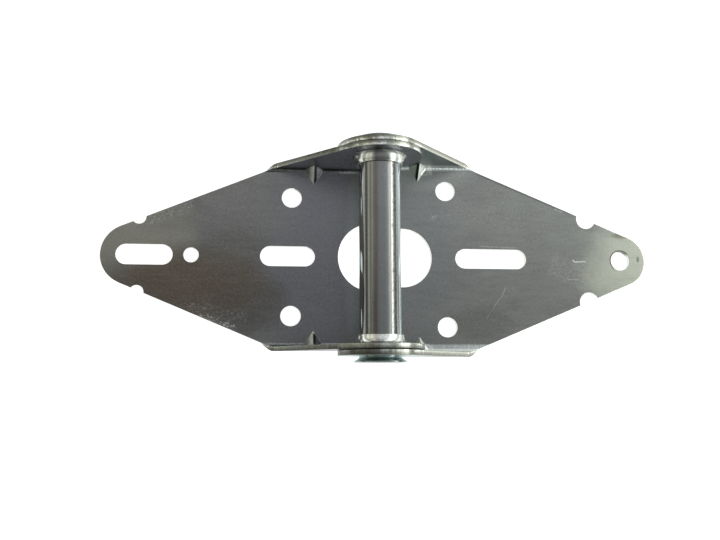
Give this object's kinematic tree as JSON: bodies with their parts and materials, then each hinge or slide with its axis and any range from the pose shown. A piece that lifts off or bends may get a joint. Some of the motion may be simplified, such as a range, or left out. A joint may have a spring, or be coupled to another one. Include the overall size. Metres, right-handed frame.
{
  "type": "garage door hinge",
  "caption": "Sectional garage door hinge: two tapered pressed steel leaves with folded ears turning on a flared tube that takes a roller stem.",
  "frame": {"origin": "middle of the hinge axis, the centre of the tube's bore", "axes": "+X along the outer leaf to its tip, +Y along the hinge axis, +Z from the backs of the leaves up through the ears"},
  "size_m": [0.2192, 0.0838, 0.0372],
  "materials": {
    "inner_leaf_zinc": "satin zinc plating, a little darker",
    "outer_leaf_zinc": "satin zinc plating",
    "tube_zinc": "glossy zinc plating"
  },
  "bodies": {
    "outer": {"outer_leaf": "outer_leaf_zinc", "hinge_tube": "tube_zinc"},
    "inner": {"inner_leaf": "inner_leaf_zinc"}
  },
  "joints": [
    {"name": "leaf_fold", "type": "hinge", "parent": "outer", "child": "inner", "pos_m": [0, 0, 0], "axis": [0, 1, 0], "range_deg": [-2.5, 180]}
  ]
}
